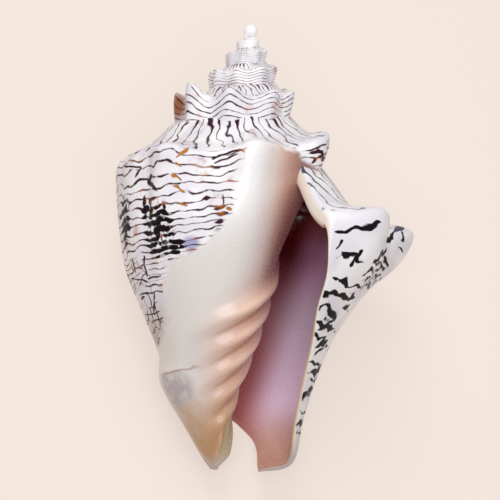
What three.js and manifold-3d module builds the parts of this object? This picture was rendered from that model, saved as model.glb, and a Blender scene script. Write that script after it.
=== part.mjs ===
// A volute sea shell lying on its back with the aperture up. Millimetres, +Z up.
// The shell is one grown piece: a whorl profile swept round the shell's axis, growing as it
// turns, thick and solid in the spire and the pillar, and a thin wall round the last hollow turn.
//
// Growth is measured in turns from the apex. A whole number of turns lies on the shell's right,
// a quarter more on its front (the aperture's side), a half on its left, three quarters on its back.
// A profile point is (radius from the axis, depth below the apex).
import * as THREE from "three";
import { mergeVertices } from "three/addons/utils/BufferGeometryUtils.js";
import Module from "manifold-3d";

// Driving dimensions.
const SHELL_LENGTH = 150; // apex to the lower end, along the axis
const PROFILE_UNITS = 441; // the profile tables below are in 441sts of the shell's length
const SCALE = SHELL_LENGTH / PROFILE_UNITS;
const AXIS_LEAN = THREE.MathUtils.degToRad(5.1); // the axis leans to the right at the apex
const LAY_PITCH = THREE.MathUtils.degToRad(21.8); // turn about X that lays the back on the surface
const LAY_ROLL = THREE.MathUtils.degToRad(-7.26); // turn about Y that lays the back on the surface
const WALL = 7; // wall thickness of the hollow turn, in profile units
const SUTURE_THINNING = 0.25; // the wall is thinner at the suture by this share
const THINNING_REACH = 0.4; // and as thick as elsewhere this far along the profile
const AXIS_CORE = 1; // radius left open round the axis, filled by the core rod
const LEAST_RADIUS = 1.6; // of the outer surface
const CORE_ROD = 2.4;
const CORE_TOP = 6;
const CORE_LENGTH = 432;
const NUB_RADIUS = 6.7; // the rounded first whorl at the apex
const NUB_TOP = -3.5; // its depth: it stands a little above the growth tables

// Shoulder of the whorl between its knobs, at stated turns: radius and depth.
const SHOULDER_TURNS = [0, 1, 2, 3, 4, 4.5, 5, 5.25, 5.5, 5.75, 5.96, 6.09, 6.15];
const SHOULDER_RADII = [4, 9.5, 16.5, 27, 45, 62, 82, 95, 110, 131, 150, 155, 152];
const SHOULDER_DEPTHS = [4, 11, 22.5, 39.5, 65.5, 84, 110, 127, 150, 180, 204, 189, 184];

// The suture, where a whorl meets the one before it: its radius, of the earlier shoulder's radius,
// and how far down it lies from that shoulder, of the way to the whorl's own, at stated turns.
const SUTURE_TUCK = 0.93;
const SUTURE_TURNS = [3.3, 4.3, 5.25, 5.5, 6];
const SUTURE_DOWN = [0.5, 0.41, 0.3, 0.2, 0.17];
// The ramp's points: how far out from the earlier shoulder, and how far down from the suture.
const RAMP_OUT = [0.2, 0.58];
const RAMP_DOWN = [0.3, 0.71];
// On the left of the last turn the ramp is fuller, so it starts to fall later.
const FULL_RAMP_AT = 5.52;
const FULL_RAMP_HALF_WIDTH = 0.12;
const FULL_RAMP_LIFT = 0.12;

// Where the growing edge stops, in turns. The first is the apex, the last the outer lip.
const APEX_TURN = 0.35;
const LIP_TURN = 6.15;
const HOLLOW_FROM = 4.75; // solid before this turn, and the hollow widens to its full size
const FULLY_HOLLOW = 5.05;

// The profile below the shoulder, at stated turns: eight points from the upper side to the end.
// Up to 5.5 turns it runs down the pillar to its tip, and later it ends at the wall's free edge.
const LOWER_TURNS = [4.5, 4.75, 5, 5.25, 5.5, 5.62, 5.75, 5.86, 6, 6.15];
const LOWER_PROFILES = [
  [[60, 110], [54, 140], [42, 190], [32, 240], [24, 290], [15, 340], [12, 395], [8, 440]],
  [[72, 118], [59, 160], [40, 222], [30, 268], [22, 308], [13, 350], [13, 400], [10, 441]],
  [[81, 130], [64, 166], [39, 236], [31, 280], [24, 318], [11, 361], [18, 408], [15, 443]],
  [[95, 152], [92, 195], [78, 245], [62, 295], [48, 340], [37, 375], [25, 412], [10, 443]],
  [[112, 178], [111, 210], [103, 252], [83, 292], [63, 332], [58, 364], [29, 406], [6, 439]],
  [[119, 192], [112, 222], [100, 258], [85, 302], [70, 338], [62, 364], [43, 394], [24, 418]],
  [[127, 206], [117, 232], [102, 268], [87, 304], [73, 339], [63, 362], [54, 380], [47, 390]],
  [[140, 220], [129, 240], [112, 272], [97, 305], [83, 342], [71, 373], [61, 396], [53, 408]],
  [[150, 226], [141, 246], [123, 276], [107, 306], [95, 344], [86, 386], [79, 427], [46, 439]],
  [[156, 212], [149, 240], [132, 276], [118, 312], [104, 350], [93, 391], [84, 429], [60, 441]],
];

// The lip's edge swings back from the aperture's plane: turns short of LIP_TURN along the profile.
const LIP_SETBACK = [0.03, 0.022, 0.016, 0.012, 0.012, 0.018, 0.026, 0.044, 0.062, 0.08, 0.1, 0.12];

// Knobs on the shoulder: where each of the newer ones stands, in turns, how large it is, and how
// far its tip points up, as a share of the shoulder's radius. Older ones are evenly spaced, and alike.
const KNOBS = [
  [6.088, 1.12, 0.11], [5.968, 1.8, 0.1], [5.835, 1.2, 0.1], [5.68, 1.5, 0.11], [5.595, 1, 0.11],
  [5.515, 0.85, 0.04], [5.445, 0.75, 0.04], [5.37, 0.9, 0.1], [5.225, 0.9, 0.1], [5.08, 1, 0.11],
  [4.965, 1, 0.12], [4.85, 1, 0.12], [4.735, 1, 0.14], [4.63, 1.1, 0.16], [4.525, 1.2, 0.2],
  [4.41, 1.3, 0.3], [4.29, 1.1, 0.22], [4.16, 1, 0.16], [4.05, 1, 0.13],
];
const OLDER_KNOBS = { first: 1.295, last: 3.92, spacing: 0.125, size: 1, rise: 0.12 };
for (let turn = OLDER_KNOBS.last; turn >= OLDER_KNOBS.first; turn -= OLDER_KNOBS.spacing) {
  KNOBS.push([turn, OLDER_KNOBS.size, OLDER_KNOBS.rise]);
}
const KNOBS_GROW = [0.9, 2.2]; // turns between which the knobs grow to their full size
const KNOB_HALF_WIDTH = 0.034; // in turns
const KNOB_HEIGHT = 0.14; // of the shoulder's radius
const BETWEEN_KNOBS = 0.25; // how far the shoulder sinks between knobs, of a knob's height
// How far a knob reaches along the profile: up the ramp, down the side, and how far its tip is bent.
const KNOB_REACH_UP = 0.075;
const KNOB_REACH_DOWN = 0.16;
const KNOB_TIP_REACH = 0.07;

// Columella folds: depth of each at one turn, on the pillar's right, and how far it stands out.
const FOLDS_READ_AT = 5;
const FOLD_DEPTHS = [249, 276, 303, 331, 358];
const FOLD_HEIGHT = 8;
const FOLD_HALF_WIDTH = 10.5;
const FOLD_DESCENT = 130; // depth that a fold gains in one turn
const FOLD_FADE = 0.12; // each fold stands out less than the one above it by this share
const FOLDS_END = [5.36, 5.16]; // turns where the folds start and are full, on the aperture's side
const FOLDS_START = [4.4, 4.7]; // and deep inside

// Faceting: profile points, and rings in a turn. The pillar's folds need closer points.
const SPIRE_POINTS = 20;
const BODY_POINTS = 26;
const FOLD_POINTS = 40;
const FOLD_ZONE = [0.42, 0.88]; // the part of the profile that holds the folds
const FOLD_SHARE = 0.66; // of the points
const BODY_STEPS_PER_TURN = 36;
const SPIRE_STEPS_PER_TURN = 20;
const LIP_STEPS = 8;
const CORE_SIDES = 10;
const NUB_SIDES = 14;
const NUB_ROWS = 10;
const SAME_POINT = 1e-5; // in mm: points closer than this are one
const FINEST_DETAIL = 0.03; // in mm: slivers of the joining smaller than this are merged
const LONGEST_PIECE = 0.5; // in turns
const BODY_FROM = 4;
const FOLDS_FROM = 4.5;
const FOLDS_TO = 5.5;
const LEANING_FROM = 5.95;

const clamp01 = (x) => Math.min(1, Math.max(0, x));
const smooth = (low, high, x) => {
  const t = clamp01((x - low) / (high - low));
  return t * t * (3 - 2 * t);
};
const bell = (x) => Math.exp(-x * x);

// The value at x of a smooth curve through (keys[i], values[i]), flat beyond its ends.
function curve(keys, values, x) {
  const last = keys.length - 1;
  const at = Math.min(keys[last], Math.max(keys[0], x));
  let i = 0;
  while (i < last - 1 && at > keys[i + 1]) i++;
  const slope = (j) => {
    const [a, b] = [Math.max(0, j - 1), Math.min(last, j + 1)];
    return (values[b] - values[a]) / (keys[b] - keys[a]);
  };
  const span = keys[i + 1] - keys[i];
  const t = (at - keys[i]) / span;
  const [t2, t3] = [t * t, t * t * t];
  return (
    (2 * t3 - 3 * t2 + 1) * values[i] +
    (t3 - 2 * t2 + t) * span * slope(i) +
    (3 * t2 - 2 * t3) * values[i + 1] +
    (t3 - t2) * span * slope(i + 1)
  );
}

const shoulderRadius = (turn) => curve(SHOULDER_TURNS, SHOULDER_RADII, turn);
const shoulderDepth = (turn) => curve(SHOULDER_TURNS, SHOULDER_DEPTHS, turn);

// The lower profile's points as columns, each followed from turn to turn.
const LOWER_RADII = LOWER_PROFILES[0].map((_, j) => LOWER_PROFILES.map((p) => p[j][0]));
const LOWER_DEPTHS = LOWER_PROFILES[0].map((_, j) => LOWER_PROFILES.map((p) => p[j][1]));

// Control points of the outer profile at a turn: suture, ramp, shoulder, then the lower profile.
function profileControls(turn) {
  const radius = shoulderRadius(turn);
  const depth = shoulderDepth(turn);
  const radiusBefore = shoulderRadius(Math.max(0, turn - 1));
  const depthBefore = shoulderDepth(Math.max(0, turn - 1));
  const out = radius - radiusBefore;
  const down = depth - depthBefore;
  const suture = curve(SUTURE_TURNS, SUTURE_DOWN, turn);
  const lift = FULL_RAMP_LIFT * bell((turn - FULL_RAMP_AT) / FULL_RAMP_HALF_WIDTH);
  const upper = [
    [radiusBefore * SUTURE_TUCK, depthBefore + suture * down],
    ...RAMP_OUT.map((share, i) => [
      radiusBefore + share * out,
      depthBefore + (suture + (1 - suture) * RAMP_DOWN[i] - lift) * down,
    ]),
    [radius, depth],
  ];
  const youngest = LOWER_TURNS[0];
  const shrink = turn < youngest ? shoulderRadius(turn) / shoulderRadius(youngest) : 1;
  const lower = LOWER_RADII.map((radii, j) => {
    const r = curve(LOWER_TURNS, radii, turn);
    const u = curve(LOWER_TURNS, LOWER_DEPTHS[j], turn);
    return [r * shrink, depth + (u - shoulderDepth(Math.max(turn, youngest))) * shrink];
  });
  return [...upper, ...lower];
}

// How far the knobs stand out at a turn, and how far they rise there.
function knobAt(turn) {
  const shown = smooth(...KNOBS_GROW, turn);
  let [out, up] = [0, 0];
  for (const [at, size, rise] of KNOBS) {
    const near = shown * bell((turn - at) / KNOB_HALF_WIDTH);
    out += size * near;
    up += rise * near;
  }
  return { out, up };
}

// How far the columella's folds stand out at a turn and depth.
function foldAt(turn, depth) {
  const shown = smooth(...FOLDS_END, turn) * smooth(...FOLDS_START, turn);
  const across = FOLD_DEPTHS.map((at, i) => {
    const middle = at + (turn - FOLDS_READ_AT) * FOLD_DESCENT;
    return (1 - FOLD_FADE * i) * bell((depth - middle) / FOLD_HALF_WIDTH);
  });
  return shown * FOLD_HEIGHT * across.reduce((sum, one) => sum + one, 0);
}

// A point of the outer surface: along runs from 0 at the suture to 1 at the lower end.
const CONTROL_AT = LIP_SETBACK.map((_, i) => i / (LIP_SETBACK.length - 1));
const SHOULDER_AT = CONTROL_AT[RAMP_OUT.length + 1];
function outerPoint(turn, along) {
  const controls = profileControls(turn);
  let radius = curve(CONTROL_AT, controls.map((c) => c[0]), along);
  let depth = curve(CONTROL_AT, controls.map((c) => c[1]), along);
  const size = shoulderRadius(turn);
  const knob = knobAt(turn);
  const below = along - SHOULDER_AT;
  const spread = bell(below / (below < 0 ? KNOB_REACH_UP : KNOB_REACH_DOWN));
  radius += KNOB_HEIGHT * size * (knob.out - BETWEEN_KNOBS) * spread;
  depth -= size * knob.up * bell(below / KNOB_TIP_REACH);
  radius += foldAt(turn, depth);
  return [Math.max(radius, LEAST_RADIUS), depth];
}

const SLOPE_STEP = 0.01; // how far apart along the profile its slope is read
// The inner surface of the wall: a wall's thickness inside, closing on the axis in the solid spire.
function innerPoint(turn, along) {
  const [r, u] = outerPoint(turn, along);
  const [ra, ua] = outerPoint(turn, Math.max(0, along - SLOPE_STEP));
  const [rb, ub] = outerPoint(turn, Math.min(1, along + SLOPE_STEP));
  const length = Math.hypot(rb - ra, ub - ua) || 1;
  const thick = WALL * (1 - SUTURE_THINNING * smooth(THINNING_REACH, 0, along));
  const hollow = [r - (thick * (ub - ua)) / length, u + (thick * (rb - ra)) / length];
  const open = smooth(HOLLOW_FROM, FULLY_HOLLOW, turn);
  return [
    Math.max(AXIS_CORE, THREE.MathUtils.lerp(AXIS_CORE, hollow[0], open)),
    THREE.MathUtils.lerp(u, hollow[1], open),
  ];
}

// A profile point set round the axis: x to the right, y up the axis, z to the front.
function place(turn, [radius, depth]) {
  const angle = turn * 2 * Math.PI;
  return new THREE.Vector3(
    radius * SCALE * Math.cos(angle),
    -depth * SCALE,
    radius * SCALE * Math.sin(angle),
  );
}

// Where the points of a profile lie along it: evenly, or crowded together where the folds are.
const even = (count) => Array.from({ length: count }, (_, i) => i / (count - 1));
const crowded = (count) => {
  const [low, high] = FOLD_ZONE;
  const rest = (1 - FOLD_SHARE) / (1 - (high - low));
  const keys = [0, low * rest, low * rest + FOLD_SHARE, 1];
  return even(count).map((t) => {
    if (t < keys[1]) return t / rest;
    if (t > keys[2]) return high + (t - keys[2]) / rest;
    return low + ((t - keys[1]) / FOLD_SHARE) * (high - low);
  });
};

// One ring of the sweep: out along the outer profile and back along the inner one.
// The count of points along the profile is even, and the inner side has half as many.
function ring(turnOf, points) {
  const outer = points.map((along) => place(turnOf(along), outerPoint(turnOf(along), along)));
  const back = points.filter((_, i) => i % 2 === 1).reverse();
  const inner = back.map((along) => place(turnOf(along), innerPoint(turnOf(along), along)));
  return [...outer, ...inner];
}

// A closed solid through rings of points, capped at both ends by pairing outer and inner points.
function sweep(rings) {
  const count = rings[0].length;
  const outerCount = (count * 2) / 3;
  const index = [];
  for (let j = 0; j + 1 < rings.length; j++) {
    for (let i = 0; i < count; i++) {
      const [a, b] = [j * count + i, j * count + ((i + 1) % count)];
      index.push(a, a + count, b, b, a + count, b + count);
    }
  }
  const inner = (i) => outerCount + Math.floor((outerCount - 1 - i) / 2);
  const cap = (base, flip) => {
    for (let i = 0; i + 1 < outerCount; i++) {
      const faces = [[i, inner(i), i + 1]];
      if (inner(i) !== inner(i + 1)) faces.push([i + 1, inner(i), inner(i + 1)]);
      for (const [a, b, c] of faces) {
        index.push(base + a, base + (flip ? b : c), base + (flip ? c : b));
      }
    }
  };
  cap(0, false);
  cap((rings.length - 1) * count, true);
  const geometry = new THREE.BufferGeometry();
  geometry.setFromPoints(rings.flat());
  geometry.setIndex(index);
  return geometry;
}

const wasm = await Module();
wasm.setup();

function solidOf(geometry) {
  const bare = new THREE.BufferGeometry();
  bare.setAttribute("position", geometry.getAttribute("position"));
  bare.setIndex(geometry.index);
  const merged = mergeVertices(bare, SAME_POINT);
  const solid = new wasm.Manifold(
    new wasm.Mesh({
      numProp: 3,
      vertProperties: new Float32Array(merged.getAttribute("position").array),
      triVerts: new Uint32Array(merged.index.array),
    }),
  );
  return solid;
}

function geometryOf(solid) {
  const mesh = solid.getMesh();
  const geometry = new THREE.BufferGeometry();
  geometry.setAttribute("position", new THREE.BufferAttribute(mesh.vertProperties, 3));
  geometry.setIndex(new THREE.BufferAttribute(mesh.triVerts, 1));
  geometry.computeVertexNormals();
  return geometry;
}

// The turns of one stretch of the sweep, both ends included.
function stretch(from, to, perTurn) {
  const steps = Math.max(1, Math.round((to - from) * perTurn));
  return Array.from({ length: steps + 1 }, (_, i) => from + ((to - from) * i) / steps);
}

// The sweep from one turn to another, in pieces short enough not to meet themselves.
function sweptPieces(from, to, perTurn, points) {
  const pieces = [];
  for (let start = from; start < to; start += LONGEST_PIECE) {
    const turns = stretch(start, Math.min(to, start + LONGEST_PIECE), perTurn);
    pieces.push(sweep(turns.map((turn) => ring(() => turn, points))));
  }
  return pieces;
}

// The last stretch, whose rings lean over from a straight one to the lip's swung-back edge.
function lipPiece(from) {
  const edge = (along) => LIP_TURN - curve(CONTROL_AT, LIP_SETBACK, along);
  const turnOf = (share) => (along) => THREE.MathUtils.lerp(from, edge(along), share);
  return sweep(even(LIP_STEPS + 1).map((share) => ring(turnOf(share), even(BODY_POINTS))));
}

const largestBody = (solid) =>
  solid.decompose().reduce((most, body) => (body.volume() > most.volume() ? body : most));

function shellSolid() {
  const pieces = [
    ...sweptPieces(APEX_TURN, BODY_FROM, SPIRE_STEPS_PER_TURN, even(SPIRE_POINTS)),
    ...sweptPieces(BODY_FROM, FOLDS_FROM, BODY_STEPS_PER_TURN, even(BODY_POINTS)),
    ...sweptPieces(FOLDS_FROM, FOLDS_TO, BODY_STEPS_PER_TURN, crowded(FOLD_POINTS)),
    ...sweptPieces(FOLDS_TO, LEANING_FROM, BODY_STEPS_PER_TURN, even(BODY_POINTS)),
    lipPiece(LEANING_FROM),
  ];
  const rod = CORE_ROD * SCALE;
  const core = new THREE.CylinderGeometry(rod, rod, CORE_LENGTH * SCALE, CORE_SIDES);
  core.translate(0, -(CORE_TOP + CORE_LENGTH / 2) * SCALE, 0);
  const nub = new THREE.SphereGeometry(NUB_RADIUS * SCALE, NUB_SIDES, NUB_ROWS);
  nub.translate(0, -(NUB_TOP + NUB_RADIUS) * SCALE, 0);
  const joined = [...pieces, core, nub].map(solidOf).reduce((sum, piece) => sum.add(piece));
  // The outermost body alone: pockets sealed between old whorls are filled, as lime fills them.
  return largestBody(largestBody(joined).simplify(FINEST_DETAIL));
}

const shellMaterial = new THREE.MeshStandardMaterial({
  color: new THREE.Color(0.86, 0.8, 0.77),
  roughness: 0.35,
  metalness: 0,
});

const shell = new THREE.Mesh(geometryOf(shellSolid()), shellMaterial);
shell.name = "shell";
shell.rotation.z = -AXIS_LEAN;

const volute = new THREE.Group();
volute.add(shell);
volute.rotation.set(LAY_PITCH, LAY_ROLL, 0);
// Stand the part's origin under the middle of its box.
const box = new THREE.Box3().setFromObject(volute, true);
const middle = box.getCenter(new THREE.Vector3());
volute.position.set(-middle.x, -middle.y, -box.min.z);
export default volute;
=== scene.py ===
"""A volute sea shell lying on its back, grown turn by turn and dressed with its markings."""
import math

import bmesh
import bpy
import numpy as np
from mathutils import Matrix, Vector


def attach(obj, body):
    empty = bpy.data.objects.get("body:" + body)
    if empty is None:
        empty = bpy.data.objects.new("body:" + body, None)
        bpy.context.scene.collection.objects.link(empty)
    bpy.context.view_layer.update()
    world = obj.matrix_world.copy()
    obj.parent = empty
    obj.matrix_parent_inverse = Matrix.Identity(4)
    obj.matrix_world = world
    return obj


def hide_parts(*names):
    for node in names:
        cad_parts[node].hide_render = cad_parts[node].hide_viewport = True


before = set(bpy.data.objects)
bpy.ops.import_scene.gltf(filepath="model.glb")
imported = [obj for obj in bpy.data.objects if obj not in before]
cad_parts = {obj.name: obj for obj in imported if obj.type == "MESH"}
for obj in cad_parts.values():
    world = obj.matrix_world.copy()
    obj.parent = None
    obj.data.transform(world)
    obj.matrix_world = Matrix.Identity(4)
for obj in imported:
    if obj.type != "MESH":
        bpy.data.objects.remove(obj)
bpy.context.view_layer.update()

bl_info = {
    "name": "Volute shell",
    "version": (1, 0, 0),
    "blender": (4, 5, 0),
    "location": "View3D > Sidebar > Shell",
    "description": "Grows a volute sea shell round its axis and sets it on a studio floor",
    "category": "Add Mesh",
}

# The growth tables are in units of one 441st of the shell's length.
LENGTH_UNITS = 441
AXIS_LEAN = math.radians(5.1)
LAY_PITCH = math.radians(21.8)
LAY_ROLL = math.radians(-7.26)
# Where the apex goes when the shell lies on its back, in metres.
APEX_PLACE = Vector((-0.005700, 0.070282, 0.066860))

# Shoulder of the whorl between its knobs, at stated turns: radius and depth below the apex.
SHOULDER_TURNS = [0, 1, 2, 3, 4, 4.5, 5, 5.25, 5.5, 5.75, 5.96, 6.09, 6.15]
SHOULDER_RADII = [4, 9.5, 16.5, 27, 45, 62, 82, 95, 110, 131, 150, 155, 152]
SHOULDER_DEPTHS = [4, 11, 22.5, 39.5, 65.5, 84, 110, 127, 150, 180, 204, 189, 184]

# The suture, where a whorl meets the one before it: its radius, of the earlier shoulder's radius,
# and how far down it lies from that shoulder, of the way to the whorl's own, at stated turns.
SUTURE_TUCK = 0.93
SUTURE_TURNS = [3.3, 4.3, 5.25, 5.5, 6]
SUTURE_DOWN = [0.5, 0.41, 0.3, 0.2, 0.17]
# The ramp's points: how far out from the earlier shoulder, and how far down from the suture.
RAMP_OUT = (0.2, 0.58)
RAMP_DOWN = (0.3, 0.71)
# On the left of the last turn the ramp is fuller.
FULL_RAMP_AT = 5.52
FULL_RAMP_HALF_WIDTH = 0.12
FULL_RAMP_LIFT = 0.12

APEX_TURN = 0.35
LIP_TURN = 6.15
HOLLOW_FROM, FULLY_HOLLOW = 4.75, 5.05
LEANING_FROM = 5.95

# The profile below the shoulder, at stated turns: eight points from the upper side to the end.
LOWER_TURNS = [4.5, 4.75, 5, 5.25, 5.5, 5.62, 5.75, 5.86, 6, 6.15]
LOWER_PROFILES = [
    [[60, 110], [54, 140], [42, 190], [32, 240], [24, 290], [15, 340], [12, 395], [8, 440]],
    [[72, 118], [59, 160], [40, 222], [30, 268], [22, 308], [13, 350], [13, 400], [10, 441]],
    [[81, 130], [64, 166], [39, 236], [31, 280], [24, 318], [11, 361], [18, 408], [15, 443]],
    [[95, 152], [92, 195], [78, 245], [62, 295], [48, 340], [37, 375], [25, 412], [10, 443]],
    [[112, 178], [111, 210], [103, 252], [83, 292], [63, 332], [58, 364], [29, 406], [6, 439]],
    [[119, 192], [112, 222], [100, 258], [85, 302], [70, 338], [62, 364], [43, 394], [24, 418]],
    [[127, 206], [117, 232], [102, 268], [87, 304], [73, 339], [63, 362], [54, 380], [47, 390]],
    [[140, 220], [129, 240], [112, 272], [97, 305], [83, 342], [71, 373], [61, 396], [53, 408]],
    [[150, 226], [141, 246], [123, 276], [107, 306], [95, 344], [86, 386], [79, 427], [46, 439]],
    [[156, 212], [149, 240], [132, 276], [118, 312], [104, 350], [93, 391], [84, 429], [60, 441]],
]
LIP_SETBACK = [0.03, 0.022, 0.016, 0.012, 0.012, 0.018, 0.026, 0.044, 0.062, 0.08, 0.1, 0.12]

# Knobs: turn, size and rise. Older ones are evenly spaced and alike.
KNOBS = [
    (6.088, 1.12, 0.11), (5.968, 1.8, 0.1), (5.835, 1.2, 0.1), (5.68, 1.5, 0.11),
    (5.595, 1, 0.11), (5.515, 0.85, 0.04), (5.445, 0.75, 0.04), (5.37, 0.9, 0.1),
    (5.225, 0.9, 0.1), (5.08, 1, 0.11), (4.965, 1, 0.12), (4.85, 1, 0.12), (4.735, 1, 0.14),
    (4.63, 1.1, 0.16), (4.525, 1.2, 0.2), (4.41, 1.3, 0.3), (4.29, 1.1, 0.22), (4.16, 1, 0.16),
    (4.05, 1, 0.13),
]
OLDER_KNOBS_LAST, OLDER_KNOBS_SPACING, OLDER_KNOBS_COUNT = 3.92, 0.125, 22
OLDER_KNOB_SIZE, OLDER_KNOB_RISE = 1, 0.12
KNOBS += [(OLDER_KNOBS_LAST - OLDER_KNOBS_SPACING * i, OLDER_KNOB_SIZE, OLDER_KNOB_RISE)
          for i in range(OLDER_KNOBS_COUNT)]
KNOBS_GROW = (0.9, 2.2)  # turns between which the knobs grow to their full size
KNOB_HALF_WIDTH = 0.034  # in turns
BETWEEN_KNOBS = 0.25  # how far the shoulder sinks between knobs, of a knob's height
# How far a knob reaches along the profile: up the ramp, down the side, and how far its tip is bent.
KNOB_REACH_UP = 0.075
KNOB_REACH_DOWN = 0.16
KNOB_TIP_REACH = 0.07

# The pillar's folds: depth of each at one turn, what it gains in a turn, and its two half widths.
FOLDS_READ_AT = 5
FOLD_DEPTHS = [238, 265, 292, 320, 347]
FOLD_DESCENT = 220
FOLD_ABOVE = 12.5
FOLD_BELOW = 6.5
FOLD_FADE = 0.12  # each fold stands out less than the one above it by this share
FOLDS_END = (5.36, 5.16)  # turns where the folds start and are full, on the aperture's side
FOLDS_START = (4.4, 4.7)  # and deep inside
# The crease below a fold: how far below the crest, and how wide, of the fold's lower half width.
CREASE_BELOW = 1.5
CREASE_WIDTH = 0.6

# The valley between the ribs on the left of the body: its turn, half width, depth and reach.
VALLEY_AT = 5.405
VALLEY_HALF_WIDTH = 0.013
VALLEY_DEPTH = 4.5
VALLEY_STARTS = (0.25, 0.31)
VALLEY_ENDS = (0.62, 0.42)

# The end of the pillar: a keel, a groove beside it, and a rounded tip.
PILLAR_TURNS = (5.55, 5.4)
KEEL_AT, KEEL_HALF_WIDTH, KEEL_HEIGHT = 5.21, 0.02, 3.5
GROOVE_AT, GROOVE_HALF_WIDTH, GROOVE_DEPTH = 5.1, 0.05, 2.5
KEEL_STARTS = (0.84, 0.91)
TIP_STARTS = (0.94, 1)
TIP_NARROWING = 0.6

AXIS_CORE = 1.0  # radius left open round the axis, filled by the core rod
LEAST_RADIUS = 1.6  # of the outer surface
CORE_ROD, CORE_TOP, CORE_END, CORE_SIDES = 2.4, 6, 438, 24
CORE_TURN, CORE_ALONG = 4.0, 0.5  # where the finish takes the core rod to be
NUB_RADIUS, NUB_TOP, NUB_SIDES, NUB_ROWS = 6.7, -3.5, 32, 17  # the rounded first whorl
NUB_TURN, NUB_ALONG = 0.4, 0.3  # where the finish takes it to be

# The wall is thinner at the suture and at its free lower edge.
SUTURE_THINNING = 0.25
THINNING_REACH = 0.4
FREE_EDGE_THINNING = 0.6
FREE_EDGE = (0.965, 1.0)
SLOPE_STEP = 0.01  # how far apart along the profile its slope is read
SHORTEST = 1e-6


def smooth(low, high, x):
    t = np.clip((x - low) / (high - low), 0, 1)
    return t * t * (3 - 2 * t)


def bell(x):
    return np.exp(-x * x)


def curve_rows(keys, rows, x):
    """A smooth curve through (keys, rows[i]) for each i, read at x[i], flat beyond its ends."""
    keys = np.asarray(keys, float)
    rows = np.asarray(rows, float)
    last = len(keys) - 1
    at = np.clip(x, keys[0], keys[-1])
    low = np.clip(np.searchsorted(keys, at, side="right") - 1, 0, last - 1)
    if rows.ndim == 1:
        value = lambda j: rows[j]
    else:
        line = np.arange(len(rows))
        value = lambda j: rows[line, j]

    def slope(j):
        before, after = np.maximum(j - 1, 0), np.minimum(j + 1, last)
        return (value(after) - value(before)) / (keys[after] - keys[before])

    span = keys[low + 1] - keys[low]
    t = (at - keys[low]) / span
    return ((2 * t**3 - 3 * t**2 + 1) * value(low) + (t**3 - 2 * t**2 + t) * span * slope(low)
            + (3 * t**2 - 2 * t**3) * value(low + 1) + (t**3 - t**2) * span * slope(low + 1))


def shoulder_radius(turn):
    return curve_rows(SHOULDER_TURNS, SHOULDER_RADII, turn)


def shoulder_depth(turn):
    return curve_rows(SHOULDER_TURNS, SHOULDER_DEPTHS, turn)


LOWER = np.asarray(LOWER_PROFILES, float)
CONTROL_AT = np.linspace(0, 1, len(LIP_SETBACK))
SHOULDER_AT = CONTROL_AT[len(RAMP_OUT) + 1]


def profile_controls(turn):
    """Radii and depths of the twelve control points of the outer profile at each turn."""
    radius, depth = shoulder_radius(turn), shoulder_depth(turn)
    before = np.maximum(turn - 1, 0)
    radius_before, depth_before = shoulder_radius(before), shoulder_depth(before)
    out, down = radius - radius_before, depth - depth_before
    lift = FULL_RAMP_LIFT * bell((turn - FULL_RAMP_AT) / FULL_RAMP_HALF_WIDTH)
    radii = [radius_before * SUTURE_TUCK] + [radius_before + share * out for share in RAMP_OUT] + [radius]
    suture = curve_rows(SUTURE_TURNS, SUTURE_DOWN, turn)
    ramp = [suture] + [suture + (1 - suture) * share - lift for share in RAMP_DOWN]
    depths = [depth_before + share * down for share in ramp] + [depth]
    youngest = LOWER_TURNS[0]
    shrink = np.where(turn < youngest, radius / shoulder_radius(np.float64(youngest)), 1)
    base = shoulder_depth(np.maximum(turn, youngest))
    for j in range(LOWER.shape[1]):
        radii.append(curve_rows(LOWER_TURNS, LOWER[:, j, 0], turn) * shrink)
        depths.append(depth + (curve_rows(LOWER_TURNS, LOWER[:, j, 1], turn) - base) * shrink)
    return np.stack(radii, -1), np.stack(depths, -1)


def knob_at(turn):
    """How far the knobs stand out at a turn, and how far they rise there."""
    shown = smooth(*KNOBS_GROW, turn)
    out, up = np.zeros_like(turn), np.zeros_like(turn)
    for at, size, rise in KNOBS:
        near = shown * bell((turn - at) / KNOB_HALF_WIDTH)
        out += size * near
        up += rise * near
    return out, up


def fold_at(turn, depth):
    """How far the folds stand out, and how deep in the crease below one a point lies, 0 to 1."""
    shown = smooth(*FOLDS_END, turn) * smooth(*FOLDS_START, turn)
    crest, crease = 0, 0
    for i, at in enumerate(FOLD_DEPTHS):
        past = depth - (at + (turn - FOLDS_READ_AT) * FOLD_DESCENT)
        width = np.where(past < 0, FOLD_ABOVE, FOLD_BELOW)
        crest = crest + (1 - FOLD_FADE * i) * bell(past / width)
        crease = crease + bell((past / FOLD_BELOW - CREASE_BELOW) / CREASE_WIDTH)
    return shown * crest, shown * crease


def plain_profile(turn, along):
    """Radius and depth between the knobs. Both inputs are flat arrays of one length."""
    radii, depths = profile_controls(turn)
    return curve_rows(CONTROL_AT, radii, along), curve_rows(CONTROL_AT, depths, along)


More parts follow.
